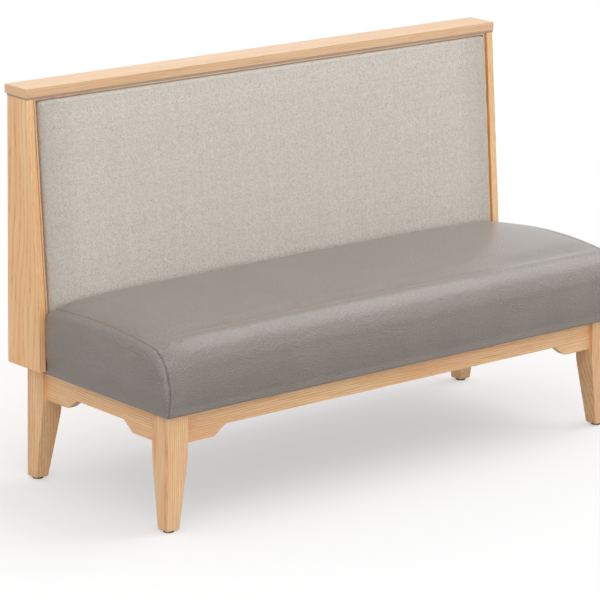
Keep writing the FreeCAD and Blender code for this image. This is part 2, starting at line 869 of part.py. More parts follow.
def make_seat(board_screws):
    """Seat cushion on its board."""
    cover, foam, board, dust_cover = seat_pieces()
    save("seat_cover", cut_all(cover, board_screws))
    save("seat_foam", foam)
    save("seat_board", cut_all(board, board_screws))
    save("seat_dust_cover", cut_all(dust_cover, board_screws))
    save("seat_screws", board_screws)


def make_back(bolts, washers, nuts):
    """Boxed back with its pad, cap and rear panel."""
    to_panels = panel_screws()
    rail_pegs = rail_dowels()
    post_pegs = post_dowels()
    to_cap, cap_wells = cap_screws()
    to_pad, pad_wells = pad_screws()
    to_rear = rear_screws()

    panel = cut_all(end_panel(), to_panels + rail_pegs)
    save("end_panel_left", panel)
    save("end_panel_right", other_end(panel))

    bottom_rail = back_beam(base_top, bottom_rail_top, bottom_rail_front, bottom_rail_front, panel_in)
    save("back_bottom_rail", cut_all(bottom_rail, rail_pegs + post_pegs + bolts + to_rear))
    rail_front = (pad_rear(top_rail_bottom), pad_rear(panel_top))
    top_rail = back_beam(top_rail_bottom, panel_top, rail_front[0], rail_front[1], panel_in)
    save("back_top_rail", cut_all(top_rail, rail_pegs + post_pegs + to_cap + cap_wells + to_rear))

    fixings = to_panels + post_pegs + to_pad + pad_wells + to_rear
    for x, name in zip(post_places, ("back_post_left", "back_post_middle", "back_post_right")):
        save(name, cut_all(back_post(x), fixings))

    lipping = side_lipping()
    save("lipping_left", lipping)
    save("lipping_right", other_end(lipping))
    save("lipping_top", top_lipping())
    save("reveal_strip", cut_all(reveal_strip(), to_cap))
    save("cap_rail", cut_all(cap_rail(), to_cap))

    cover, foam, board = pad_pieces()
    save("back_cover", cut_all(cover, to_pad))
    save("back_foam", foam)
    save("back_board", cut_all(board, to_pad))

    half = panel_in
    rear = box(-half, half, box_rear, back_rear, panel_bottom, panel_top)
    save("rear_panel", cut_all(rear, to_rear))

    for name, pieces in (
        ("panel_screws", to_panels), ("back_rail_dowels", rail_pegs), ("post_dowels", post_pegs),
        ("cap_screws", to_cap), ("pad_screws", to_pad), ("rear_panel_screws", to_rear),
        ("back_bolts", bolts), ("bolt_washers", washers), ("bolt_nuts", nuts),
    ):
        save(name, pieces)


os.makedirs("parts", exist_ok=True)
back_fixings = back_bolts()
seat_fixings = seat_screws()
make_base(back_fixings[0], seat_fixings[0], seat_fixings[1])
make_feet()
make_seat(seat_fixings[0])
make_back(*back_fixings)
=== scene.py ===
import bpy
import bmesh
import math
import numpy as np
from mathutils import Matrix, Vector


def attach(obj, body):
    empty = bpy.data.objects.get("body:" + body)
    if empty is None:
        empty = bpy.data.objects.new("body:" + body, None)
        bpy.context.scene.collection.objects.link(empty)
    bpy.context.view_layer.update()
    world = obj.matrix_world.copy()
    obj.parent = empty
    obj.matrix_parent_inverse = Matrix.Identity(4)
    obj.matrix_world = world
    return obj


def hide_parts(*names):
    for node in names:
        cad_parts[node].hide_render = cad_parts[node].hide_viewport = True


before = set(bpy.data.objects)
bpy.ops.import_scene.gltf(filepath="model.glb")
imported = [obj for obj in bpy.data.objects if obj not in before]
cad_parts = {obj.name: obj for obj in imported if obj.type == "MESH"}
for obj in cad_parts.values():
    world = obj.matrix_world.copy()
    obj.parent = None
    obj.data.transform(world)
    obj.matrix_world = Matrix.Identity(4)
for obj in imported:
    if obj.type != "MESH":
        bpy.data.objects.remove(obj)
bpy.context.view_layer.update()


# Legs and aprons. Solid oak, sanded and given one coat of satin lacquer. The legs taper on their
# inner faces and their grain stands upright; each apron is one board with its grain along it,
# dowelled into the legs.

def shade(red, green, blue):
    """A colour judged from 0 to 255, as the linear values that a shader takes."""
    def linear(value):
        value /= 255
        return value / 12.92 if value <= 0.04045 else ((value + 0.055) / 1.055) ** 2.4
    return (linear(red), linear(green), linear(blue), 1.0)


def node(tree, kind, inputs=None, **settings):
    """One shader node: its settings, then its inputs, each linked to a socket or given a value."""
    made = tree.nodes.new(kind)
    for name, value in settings.items():
        setattr(made, name, value)
    for name, value in (inputs or {}).items():
        if isinstance(value, bpy.types.NodeSocket):
            tree.links.new(value, made.inputs[name])
        else:
            made.inputs[name].default_value = value
    return made


def sums(tree, operation, first, second=0.0, third=0.0):
    """Result of one sum on values."""
    inputs = {0: first, 1: second, 2: third}
    return node(tree, "ShaderNodeMath", inputs, operation=operation).outputs[0]


def moved(tree, operation, first, second):
    """Result of one sum on vectors."""
    inputs = {0: first, 1: second}
    return node(tree, "ShaderNodeVectorMath", inputs, operation=operation).outputs[0]


def cloudy(tree, vector, stretch, detail=2.0, output=0):
    """Soft noise from 0 to 1 on a vector that is first stretched along each axis."""
    place = moved(tree, "MULTIPLY", vector, stretch)
    noise = node(tree, "ShaderNodeTexNoise", {"Vector": place, "Scale": 1.0, "Detail": detail})
    return noise.outputs[output]


def bent(tree, place, stretch, push):
    """A place that soft noise moves by up to half of a push, either way along each axis."""
    noise = cloudy(tree, place, stretch, output="Color")
    either_way = moved(tree, "SUBTRACT", noise, (0.5, 0.5, 0.5))
    return moved(tree, "ADD", place, moved(tree, "MULTIPLY", either_way, push))


def ranged(tree, value, low, high, to_low=0.0, to_high=1.0):
    """A value carried smoothly from one range to another, and held at its ends."""
    return node(tree, "ShaderNodeMapRange", {
        "Value": value, "From Min": low, "From Max": high, "To Min": to_low, "To Max": to_high,
    }, interpolation_type="SMOOTHSTEP").outputs[0]


def mixed(tree, share, first, second):
    """Two colours mixed by a share."""
    inputs = {0: share, 6: first, 7: second}
    return node(tree, "ShaderNodeMix", inputs, data_type="RGBA").outputs[2]


def effect(name, values):
    """A node group that takes a place and some values, with what each value usually is.

    It comes with the sockets that give the place and the values inside the group.
    """
    tree = bpy.data.node_groups.new(name, "ShaderNodeTree")
    tree.interface.new_socket("Vector", in_out="INPUT", socket_type="NodeSocketVector")
    for label, value in values.items():
        kind = "NodeSocketColor" if isinstance(value, tuple) else "NodeSocketFloat"
        tree.interface.new_socket(label, in_out="INPUT", socket_type=kind).default_value = value
    return tree, tree.nodes.new("NodeGroupInput").outputs


def put_out(tree, colour, roughness, height):
    """Gives a node group its three results and returns it."""
    for label in ("Color", "Roughness", "Height"):
        kind = "NodeSocketColor" if label == "Color" else "NodeSocketFloat"
        tree.interface.new_socket(label, in_out="OUTPUT", socket_type=kind)
    node(tree, "NodeGroupOutput", {"Color": colour, "Roughness": roughness, "Height": height})
    return tree


def wood_grain():
    """Growth rings round a pith line along X, with fibres, pores and slow changes of tone along it.

    The ring number is the distance from the pith over the ring pitch, after slow noise has bent
    the place and fine noise has roughened the ring.
    """
    tree, entry = effect("Wood grain", {
        "Pale": shade(255, 222, 172), "Warm": shade(234, 166, 106), "Dark": shade(150, 96, 56),
        "Pitch": 0.0058, "Figure": 0.85,
    })
    place = entry["Vector"]
    across = moved(tree, "MULTIPLY", bent(tree, place, (1.3, 6, 6), (0, 0.05, 0.05)), (0, 1, 1))
    radius = node(tree, "ShaderNodeVectorMath", {0: across}, operation="LENGTH").outputs["Value"]
    pitches = sums(tree, "DIVIDE", radius, entry["Pitch"])
    number = sums(tree, "MULTIPLY_ADD", cloudy(tree, place, (5, 140, 140)), 0.9, pitches)
    ring = node(tree, "ShaderNodeValToRGB", {0: sums(tree, "FRACT", number)})
    stops = ring.color_ramp.elements
    stops[0].color = stops[1].color = (0.45, 0.45, 0.45, 1)
    for position, value in ((0.10, 1.0), (0.30, 0.40), (0.75, 0.0)):
        stops.new(position).color = (value, value, value, 1)
    late_wood = ring.outputs[0]
    fibre = cloudy(tree, place, (9, 620, 620), 4.0)
    pore = ranged(tree, cloudy(tree, place, (38, 1900, 1900), 1.0), 0.60, 0.72)
    pore = sums(tree, "MULTIPLY", pore, ranged(tree, late_wood, 0.2, 0.9, 0.25, 1.0))
    board = cloudy(tree, place, (1.6, 16, 16), 3.0)
    streak = ranged(tree, fibre, 0.3, 0.75, -0.18, 0.42)
    tone = sums(tree, "MULTIPLY_ADD", late_wood, entry["Figure"], streak)
    colour = mixed(tree, tone, entry["Pale"], entry["Warm"])
    colour = mixed(tree, ranged(tree, board, 0.35, 0.8, 0.0, 0.55), colour, entry["Warm"])
    colour = mixed(tree, sums(tree, "MULTIPLY", pore, 0.5), colour, entry["Dark"])
    satin = ranged(tree, fibre, 0.2, 0.8, 0.40, 0.52)
    roughness = sums(tree, "MULTIPLY_ADD", pore, 0.22, satin)
    height = sums(tree, "MULTIPLY_ADD", pore, -1.0, sums(tree, "MULTIPLY", fibre, 0.6))
    return put_out(tree, colour, roughness, height)


def own_place(tree):
    """Reads a pattern's place from the object's own coordinates."""
    return {"Vector": node(tree, "ShaderNodeTexCoord").outputs["Object"]}


def surface(name, pattern, depth, constants=None, reading=own_place, **values):
    """A material whose colour, roughness and bump, of a depth in metres, come from one node group.

    The constants are set on the Principled shader, and the values on the group. The reading makes
    the nodes that give the group its place.
    """
    made = bpy.data.materials.new(name)
    made.use_nodes = True
    tree = made.node_tree
    shader = tree.nodes["Principled BSDF"]
    for label, value in (constants or {}).items():
        shader.inputs[label].default_value = value
    group = node(tree, "ShaderNodeGroup", {**reading(tree), **values}, node_tree=pattern).outputs
    relief = {"Height": group["Height"], "Distance": depth, "Strength": 1.0}
    tree.links.new(node(tree, "ShaderNodeBump", relief).outputs[0], shader.inputs["Normal"])
    tree.links.new(group["Color"], shader.inputs["Base Color"])
    tree.links.new(group["Roughness"], shader.inputs["Roughness"])
    return made


grain = wood_grain()
grain_turns = {"x": (0, 0, 0), "y": (0, 0, -math.pi / 2), "z": (0, math.pi / 2, 0)}


def board_of(name, along, pith, **values):
    """One board's own cut of the wood: grain along an axis, with the pith at a place beside it."""
    def turned(tree):
        inputs = {**own_place(tree), "Rotation": grain_turns[along], "Location": pith}
        return {"Vector": node(tree, "ShaderNodeMapping", inputs).outputs[0]}

    lacquer = {"Coat Weight": 0.5, "Coat Roughness": 0.28}
    return surface(name, grain, 0.0004, lacquer, turned, **values)


def dress(name, material):
    """Gives a node of the solid model its material."""
    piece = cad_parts[name]
    if not piece.material_slots:
        piece.data.materials.append(material)
    for slot in piece.material_slots:
        slot.material = material


corners = ("front_left", "front_right", "rear_left", "rear_right")
# Each leg has its own tones; the front right leg's are darker than the rest, which is painted
# shade.
for number, (corner, pale, warm) in enumerate(zip(
    corners, ((250, 216, 168), (240, 202, 152), (248, 212, 162), (246, 208, 158)),
    ((230, 160, 102), (216, 146, 94), (228, 158, 100), (224, 154, 98)),
)):
    pith = (0.3 * number, 0.32 + 0.07 * number, 0.09)
    oak = board_of("Oak leg " + corner, "z", pith, Pale=shade(*pale), Warm=shade(*warm), Figure=0.7)
    dress("leg_" + corner, oak)
apron_tones = {"Pale": shade(250, 214, 164), "Warm": shade(228, 158, 100)}
for name, along, pith in (
    ("front_apron", "x", (0, 0.18, -0.55)), ("rear_apron", "x", (0.4, -0.15, -0.52)),
    ("side_apron_left", "y", (0.8, -0.58, -0.53)), ("side_apron_right", "y", (1.2, 0.58, -0.51)),
):
    dress(name, board_of("Oak " + name, along, pith, **apron_tones))


# Cross rails, corner blocks and dowels. Plain beech, unfinished, seen only from below. The blocks
# are screwed into the aprons and the rails are dowelled between them.

beech = {
    "Pale": shade(222, 190, 150), "Warm": shade(205, 168, 128), "Dark": shade(170, 128, 92),
    "Figure": 0.25,
}
for number, name in enumerate(("cross_rail_left", "cross_rail_right")):
    dress(name, board_of("Beech " + name, "y", (0.2 * number, 0.2, 0.05), **beech))
dress("corner_blocks", board_of("Beech blocks", "x", (0.7, 0.15, 0.11), **beech))
peg_wood = board_of("Beech dowels", "x", (0.1, 0.6, 0.2), **beech)
for name in ("apron_dowels", "cross_rail_dowels", "back_rail_dowels", "post_dowels"):
    dress(name, peg_wood)


# Screws, bolts, washers and nuts. Zinc-plated steel with fine turning marks and a slightly
# uneven passivated film.

def machined():
    """Fine marks and a cloudy film on metal, from stretched noise."""
    tree, entry = effect("Machined metal", {
        "Metal": shade(188, 188, 190), "Film": shade(160, 158, 152),
    })
    film = cloudy(tree, entry["Vector"], (240, 240, 240))
    marks = cloudy(tree, entry["Vector"], (500, 500, 5200))
    colour = mixed(tree, ranged(tree, film, 0.35, 0.7), entry["Metal"], entry["Film"])
    return put_out(tree, colour, ranged(tree, film, 0.3, 0.7, 0.26, 0.44), marks)


turning = machined()


def metal(name, bright, film):
    """Metal with its own two tones."""
    return surface(name, turning, 0.00003, {"Metallic": 1.0}, Metal=bright, Film=film)


zinc = metal("Zinc plate", shade(196, 197, 200), shade(168, 167, 160))
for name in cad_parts:
    if name.endswith("_screws") or name in ("back_bolts", "bolt_washers", "bolt_nuts"):
        dress(name, zinc)


# Levelling feet. A zinc-plated stem with a six-sided collar turns in a brass insert in the leg,
# and stands on a round black nylon base with the fine texture of its mould.

def moulded():
    """Fine mould texture with a faint dusting in it."""
    tree, entry = effect("Moulded plastic", {
        "Plastic": shade(52, 48, 45), "Dust": shade(96, 90, 84),
    })
    texture = cloudy(tree, entry["Vector"], (1500, 1500, 1500), 3.0)
    dust = cloudy(tree, entry["Vector"], (90, 90, 260))
    dusted = ranged(tree, dust, 0.45, 0.8, 0.0, 0.5)
    colour = mixed(tree, dusted, entry["Plastic"], entry["Dust"])
    return put_out(tree, colour, ranged(tree, dust, 0.3, 0.8, 0.45, 0.7), texture)


moulding = moulded()
nylon = surface("Black nylon", moulding, 0.0001, Plastic=shade(66, 61, 57), Dust=shade(104, 97, 91))
for corner in corners:
    dress("foot_base_" + corner, nylon)
    dress("foot_stem_" + corner, zinc)
dress("leg_inserts", metal("Insert brass", shade(212, 176, 104), shade(176, 138, 78)))


# Box of the back: oak end panels with upright grain, oak lippings beside and above the pad, beech
# rails and posts inside, and an oak-veneered panel over the rear.

panel_tones = {
    "Pale": shade(255, 216, 160), "Warm": shade(236, 164, 104), "Figure": 0.55, "Pitch": 0.0072,
}
# The top lipping's tones are paler than the other oak's: painted light, against the shade of the
# cap above it.
top_tones_with_painted_light = {"Pale": shade(255, 236, 206), "Warm": shade(250, 198, 148)}
dress("end_panel_left", board_of("Oak left panel", "z", (0.15, 0.41, 0.66), **panel_tones))
dress("end_panel_right", board_of("Oak right panel", "z", (0.85, 0.37, -0.85), **panel_tones))
dress("lipping_left", board_of("Oak left lipping", "z", (0.5, 0.3, 0.5)))
dress("lipping_right", board_of("Oak right lipping", "z", (0.9, 0.4, -0.4)))
dress("lipping_top", board_of("Oak top lipping", "x", (0.2, 0.1, -0.7), **top_tones_with_painted_light))
dress("rear_panel", board_of("Oak veneer", "z", (0.3, -0.45, 0.1), Pitch=0.011))
for number, name in enumerate(("back_post_left", "back_post_middle", "back_post_right")):
    dress(name, board_of("Beech " + name, "z", (0.3 * number, 0.2, 0.1), **beech))
for number, name in enumerate(("back_bottom_rail", "back_top_rail")):
    dress(name, board_of("Beech " + name, "x", (0.3 * number, 0.2, 0.1), **beech))
for name in ("seat_board", "back_board"):
    dress(name, board_of("Birch ply " + name, "x", (0.2, 0.1, 0.4), **beech))


# Packing strip and cap. A thin grey fibre strip evens the joint, and the oak cap is screwed down
# through it from the top rail; the cap's grain runs along the bench.

dress("reveal_strip", surface("Grey strip", moulding, 0.0001,
                              Plastic=shade(182, 156, 138), Dust=shade(198, 172, 154)))
cap_tones = {"Pale": shade(244, 206, 162), "Warm": shade(222, 168, 118), "Figure": 0.55}
dress("cap_rail", board_of("Oak cap", "x", (0.6, -0.16, -1.08), **cap_tones))


# Seat cushion. Taupe vinyl over shaped foam on a plywood board: one wrap over the front, top and
# rear, with a boxed panel sewn to it at each end by a turned-in seam. The wrap is pulled down
# behind the front roll, and it ends in a hem that is turned in under the board.

seat_half, seat_seam = 0.730, 0.7235
seat_front, seat_rear = -0.29475, 0.18125
seat_bottom, seat_board_top = 0.2832, 0.3025
seat_base, seat_height = 0.283, 0.188
seat_front_swell, middle_row = 0.0065, 3.5
hem_half, hem_front, hem_rear, hem_step = 0.6750, -0.2388, 0.1253, 0.0005
rake, rake_y, rake_z = math.atan(49 / 512), 0.16725, 0.431


def raked(height, behind):
    """Y of a plane at a height, by how far it lies behind the end panels' raked front edges."""
    return rake_y + (height - rake_z) * math.tan(rake) + behind / math.cos(rake)


def eased(value):
    """A value from 0 to 1 with its ends eased: three times its square less twice its cube."""
    return value ** 2 * (3 - 2 * value)


def arc(start, middle, end, count):
    """Points on the circle through three points, evenly turned from the start, without the end.

    Each of the three is an array of points, one for each row, and every row gets its own circle.
    """
    (ax, ay), (bx, by), (cx, cy) = start.T, middle.T, end.T
    double = 2 * (ax * (by - cy) + bx * (cy - ay) + cx * (ay - by))
    a2, b2, c2 = ax**2 + ay**2, bx**2 + by**2, cx**2 + cy**2
    ux = (a2 * (by - cy) + b2 * (cy - ay) + c2 * (ay - by)) / double
    uy = (a2 * (cx - bx) + b2 * (ax - cx) + c2 * (bx - ax)) / double
    radius = np.hypot(ax - ux, ay - uy)[:, None]
    first, last = np.arctan2(ay - uy, ax - ux), np.arctan2(cy - uy, cx - ux)
    sweep = np.where(double > 0, (last - first) % (2 * np.pi), -((first - last) % (2 * np.pi)))
    turn = first[:, None] + sweep[:, None] * (np.arange(count) / count)
    return np.stack([ux[:, None] + radius * np.cos(turn), uy[:, None] + radius * np.sin(turn)], -1)


def straight(start, end, count):
    """Evenly spaced points from the start towards the end, without the end, for each row."""
    share = (np.arange(count) / count)[None, :, None]
    return start[:, None] * (1 - share) + end[:, None] * share


def softened(points, passes, kept):
    """Points smoothed along their closed columns, each pass a mean of 1, 2 and 1 parts.

    The kept columns stay as they are.
    """
    for _ in range(passes):
        mean = (np.roll(points, 1, 1) + 2 * points + np.roll(points, -1, 1)) / 4
        points = np.where(kept[None, :, None], points, mean)
    return points


def seat_outline(swell, rear_swell, counts):
    """Outline of the cushion, in Y and Z, for each swell from 0 at its ends to 1 at its middle.

    It runs from the front's foot up the bulged face, over the roll, down into the valley, over the
    crown, round the rear roll, down, and back along the bottom, where the hem ends at two places.
    """
    depth = seat_rear - seat_front
    pad_front, pad_gap, rear_round, drawn_in = -0.016, 0.0006, 0.016, 0.012

    def between(end, middle):
        return end + (middle - end) * swell

    def place(depth_share, height_share):
        return np.stack([seat_front + depth * depth_share,
                         seat_base + seat_height * height_share], -1)

    def fixed(y, z):
        return np.broadcast_to(np.array([y, z]), (len(swell), 2)).astype(float)

    bulge = place(-between(0.25, 1.0) * seat_front_swell / depth, between(0.26, 0.32))
    shoulder = place(-between(-0.95, 0.85) * seat_front_swell / depth, between(0.45, 0.545))
    roll = place(between(0.066, 0.030), between(0.70, 0.825))
    valley = place(between(0.158, 0.122), between(0.825, 0.938))
    crown = place(between(0.47, 0.52), between(0.90, 1.0))
    heights = [seat_base + seat_height * (low + (high - low) * rear_swell)
               for low, high in ((0.858, 1.002), (0.820, 0.976), (0.755, 0.905))]
    end = raked(heights[2], pad_front) - pad_gap + drawn_in * (1 - swell)
    rear_top = np.stack([end - rear_round, heights[0]], -1)
    rear_bend = np.stack([end - rear_round * (1 - math.sqrt(0.5)), heights[1]], -1)
    rear_side = np.stack([end, heights[2]], -1)
    front_low, front_board = fixed(seat_front, seat_bottom), fixed(seat_front, seat_board_top)
    rear_board, rear_low = fixed(seat_rear, seat_board_top), fixed(seat_rear, seat_bottom)
    parts = (
        straight(front_low, front_board, counts[0]), arc(front_board, bulge, shoulder, counts[1]),
        arc(shoulder, roll, valley, counts[2]), arc(valley, crown, rear_top, counts[3]),
        arc(rear_top, rear_bend, rear_side, counts[4]), straight(rear_side, rear_board, counts[5]),
        straight(rear_board, rear_low, counts[6]),
    )
    bottom = [fixed(y, seat_bottom) for y in (
        seat_rear, hem_rear + hem_step, hem_rear, hem_front, hem_front - hem_step, seat_front)]
    parts += tuple(straight(*ends, count)
                   for ends, count in zip(zip(bottom, bottom[1:]), counts[7:]))
    return np.concatenate(parts, 1)


def seat_surface(fine):
    """The whole cushion as one grid: rows along the bench, columns round the outline.

    Each row has a place along X and an inset towards the outline's inside. The insets make the
    turned-in seam, the roll of the end panel beside it, and the panel itself, which runs in to a
    line through its middle. The right end is fuller, and its seam is less deep. The inset fades
    out below, where the cover is pulled tight round the board, and at the rear, where the end
    stands against the wooden panel. Inside the hem the bottom is set up into the board. The row
    and column places, from 0 to 7 and from 0 to 12, are the same for a coarse and a fine grid.
    """
    counts = ((5, 40, 60, 140, 12, 24, 3, 5, 1, 24, 1, 5) if fine
              else (2, 9, 12, 34, 3, 8, 2, 2, 1, 10, 1, 2))
    tuck, flush, right_tuck, right_flush = 0.0088, 0.0004, 0.0059, 0.0050
    turn, lip_width, roll_out, roll_in, near_width = 0.007, 0.0020, 0.0125, 0.018, 0.10
    near = np.concatenate([turn * (1 - np.cos(np.linspace(0, np.pi / 2, 6 if fine else 2))),
                           turn + near_width * np.linspace(0, 1, 30 if fine else 8)[1:] ** 1.5])
    middle = np.linspace(-1, 1, 96 if fine else 80) * (seat_seam - near[-1])
    wrap = np.concatenate([near - seat_seam, middle[1:-1], (seat_seam - near)[::-1]])
    from_seam = seat_seam - np.abs(wrap)
    pull, pull_reach = np.where(wrap < 0, 0.0066, 0.0048), 0.024
    trench = np.where(wrap < 0, tuck, right_tuck) - pull
    wrap_inset = pull * np.exp(-from_seam / pull_reach) \
        + trench * (1 - np.sqrt(1 - (1 - np.clip(from_seam / turn, 0, 1)) ** 2))
    swing = np.linspace(0, 1, 5 if fine else 2)[1:]
    lip = np.stack([seat_seam + lip_width * (1 - np.cos(swing * np.pi / 2)),
                    tuck - (tuck - flush) * np.sin(swing * np.pi / 2), 4 + swing], -1)
    swing = np.linspace(0, 1, 14 if fine else 5)[1:]
    roll = np.stack([lip[-1, 0] + roll_out * np.sin(swing * np.pi / 2),
                     flush + roll_in * (1 - np.cos(swing * np.pi / 2)), 5 + swing], -1)
    side_x, side_inset, side_place = np.concatenate([lip, roll]).T
    shallow = right_flush + (side_inset - flush) * ((right_tuck - right_flush) / (tuck - flush))
    flatter = np.where(side_place <= 5, shallow, np.maximum(side_inset, right_flush))
    x = np.concatenate([-side_x[::-1], wrap, side_x])
    inset = np.concatenate([side_inset[::-1], wrap_inset, flatter])
    wrap_place = middle_row + wrap / (2 * seat_seam)
    row_place = np.concatenate([7 - side_place[::-1], wrap_place, side_place])

    # The outline swells from both ends to the middle, and the right end is fuller than the left.
    station = np.clip((seat_half - np.abs(x)) / seat_half, 0, 1)
    swell = np.interp(station, (0, 0.018, 0.045, 0.1, 0.2, 0.42, 1),
                      (0, 0.22, 0.45, 0.67, 0.82, 0.94, 1))
    ends = 12 if fine else 3
    evened = np.ones(2 * ends + 1) / (2 * ends + 1)
    swell = np.convolve(np.pad(swell, ends, "edge"), evened, "valid")
    outline = seat_outline(np.where(x > 0, 1 - 0.1 * (1 - swell), swell),
                           np.where(x > 0, 1 - 0.8 * (1 - swell), swell), counts)
    column_place = np.concatenate([k + np.arange(count) / count for k, count in enumerate(counts)])
    low = (column_place <= 1) | (column_place >= 6)
    outline = softened(outline, 14 if fine else 2, low)

    # The valley is pressed in along the outline's own normals, with a faint ridge before it.
    ahead = np.roll(outline, -1, 1) - np.roll(outline, 1, 1)
    inward = np.stack([ahead[..., 1], -ahead[..., 0]], -1)
    inward /= np.linalg.norm(inward, axis=-1, keepdims=True)
    steps = np.linalg.norm(np.diff(outline, axis=1, prepend=outline[:, :1]), axis=-1)
    along = np.cumsum(steps, 1)
    from_valley = along - along[:, [np.argmin(np.abs(column_place - 3))]]
    rightward = (x / seat_half)[:, None]
    groove_depth, groove_middle, ridge, ridge_reach = 0.0078, 0.021, 0.0008, 0.014
    groove_end, groove_fade = 0.716, 0.09
    reach = np.where(from_valley > groove_middle, 0.034, 0.021 + 0.005 * rightward)
    groove = groove_depth * (1 + 0.1 * rightward) \
        * np.exp(-((from_valley - groove_middle) / reach) ** 2)
    groove = (groove - ridge * np.exp(-((from_valley + ridge_reach) / ridge_reach) ** 2)) \
        * np.clip((groove_end - np.abs(x)) / groove_fade, 0, 1)[:, None]
    hold = np.interp(column_place, (0, 1, 1.35, 2, 3.3, 4, 5, 8), (0, 0.1, 0.9, 1, 1, 0.6, 0, 0))
    outline = outline + inward * (inset[:, None] * hold + groove)[..., None]

    across = np.broadcast_to(x[:, None, None], outline.shape[:2] + (1,))
    grid = np.concatenate([across, outline], -1)
    inside = (np.abs(x) < hem_half)[:, None] & (column_place >= 9) & (column_place <= 10)
    set_up = 0.0045
    grid[..., 2] += set_up * inside
    # The end panels run in to their middles, with a slight bulge.
    shares = 0.97 * np.linspace(0, 1, 26 if fine else 6)[1:] ** 1.5
    panel_bulge, panel_rear, panel_top, panel_rise = 0.0025, 0.167, 0.455, 0.07
    caps = []
    for edge in (grid[0], grid[-1]):
        heart = np.array([edge[0, 0], (seat_front + seat_rear) / 2,
                          seat_bottom + 0.45 * seat_height])
        cap = edge[None] * (1 - shares[:, None, None]) + heart * shares[:, None, None]
        y, z = cap[..., 1], cap[..., 2]
        across = np.clip((y - seat_front) / 0.10, 0, 1) * np.clip((panel_rear - y) / 0.022, 0, 1)
        up = np.clip((z - seat_bottom) / panel_rise, 0, 1) \
            * np.clip((panel_top - z) / panel_rise, 0, 1)
        cap[..., 0] += np.sign(edge[0, 0]) * panel_bulge * (eased(across) * eased(up))
        caps.append(cap)
    grid = np.concatenate([caps[0][::-1], grid, caps[1]])
    row_place = np.concatenate([1 - shares[::-1], row_place, 6 + shares])

    # Low down and at the rear the cover lies tight against the wood; elsewhere it stands out.
    x, y, z = np.moveaxis(grid, -1, 0)
    loose = eased(np.clip((0.1668 - y) / 0.004, 0, 1) * np.clip((z - seat_bottom) / 0.06, 0, 1))
    full = seat_seam + lip_width + roll_out
    tight = np.interp(np.abs(x), (0, seat_seam, seat_seam + lip_width, full, full + panel_bulge),
                      (0, 0.7287, 0.7296, 0.7305, 0.7306))
    grid[..., 0] = np.sign(x) * (tight + (np.abs(x) - tight) * loose)
    return grid, row_place, column_place


def outward(grid):
    """Outward normals of a closed grid, from the cross product of its two directions."""
    along = np.gradient(grid, axis=0)
    turned = np.roll(grid, -1, 1) - np.roll(grid, 1, 1)
    normal = np.cross(turned, along)
    normal /= np.maximum(np.linalg.norm(normal, axis=-1, keepdims=True), 1e-12)
    middle = grid.reshape(-1, 3).mean(0)
    return normal * np.sign(np.sum(normal * (grid - middle)))


def put(name, data):
    """A new object in the scene."""
    made = bpy.data.objects.new(name, data)
    bpy.context.scene.collection.objects.link(made)
    return made


def shape(name, points, faces, smooth=True):
    """A piece made of points, in metres, and faces."""
    mesh = bpy.data.meshes.new(name)
    mesh.from_pydata(np.reshape(points, (-1, 3)).tolist(), [], faces)
    mesh.polygons.foreach_set("use_smooth", np.full(len(mesh.polygons), smooth))
    return put(name, mesh)


def skin(name, grid, flat=None):
    """Piece over a closed grid: columns run round, and one face closes each end row.

    Faces that would point inwards are turned over, by the sign of the volume that they enclose.
    With a flat place for each point, these are kept as a map and points that meet are joined.
    """
    rows, columns = grid.shape[:2]
    index = np.arange(rows * columns).reshape(rows, columns)
    here, beside = index[:-1], np.roll(index, -1, 1)[:-1]
    above, above_beside = index[1:], np.roll(index, -1, 1)[1:]
    quads = np.stack([here, beside, above_beside, above], -1).reshape(-1, 4)
    a, b, c, d = (grid.reshape(-1, 3)[quads[:, k]] for k in range(4))
    volume = np.sum(np.cross(b, c) * a) + np.sum(np.cross(c, d) * a)
    faces = quads.tolist() + [index[0][::-1].tolist(), index[-1].tolist()]
    if volume < 0:
        faces = [face[::-1] for face in faces]
    piece = shape(name, grid, faces)
    if flat is not None:
        mesh = piece.data
        corner = np.zeros(len(mesh.loops), np.int32)
        mesh.loops.foreach_get("vertex_index", corner)
        layer = mesh.uv_layers.new(name="Cut")
        layer.data.foreach_set("uv", flat.reshape(-1, 2)[corner].astype(np.float32).ravel())
        body = bmesh.new()
        body.from_mesh(mesh)
        bmesh.ops.remove_doubles(body, verts=body.verts, dist=2e-6)
        body.to_mesh(mesh)
        body.free()
        mesh.update()
    return piece


def filled_out(grid, held, most):
    """How far a cover moves at each point of a coarse grid, as the foam in it presses it out.

    The cover is a cloth under a steady pressure, pinned by a share at each point. The moves are
    scaled down so that none is more than the most that is given.
    """
    piece = skin("cover at rest", grid)
    pins = piece.vertex_groups.new(name="held")
    for share in np.unique(held):
        pins.add(np.flatnonzero(held.ravel() == share).tolist(), float(share), "REPLACE")
    cloth = piece.modifiers.new("Cloth", "CLOTH")
    settings = cloth.settings
    settings.quality = 6
    settings.mass = 0.3
    settings.tension_stiffness = settings.compression_stiffness = 60
    settings.shear_stiffness = 20
    settings.bending_stiffness = 4
    settings.vertex_group_mass = "held"
    settings.use_pressure = True
    settings.uniform_pressure_force = 4
    settings.effector_weights.gravity = 0
    last = 20
    cloth.point_cache.frame_start, cloth.point_cache.frame_end = 1, last
    for number in range(1, last + 1):
        bpy.context.scene.frame_set(number)
    settled = piece.evaluated_get(bpy.context.evaluated_depsgraph_get()).data
    places = np.zeros(len(settled.vertices) * 3)
    settled.vertices.foreach_get("co", places)
    move = places.reshape(grid.shape) - grid
    bpy.data.objects.remove(piece)
    bpy.context.scene.frame_set(1)
    return move * (most / max(np.linalg.norm(move, axis=-1).max(), most))


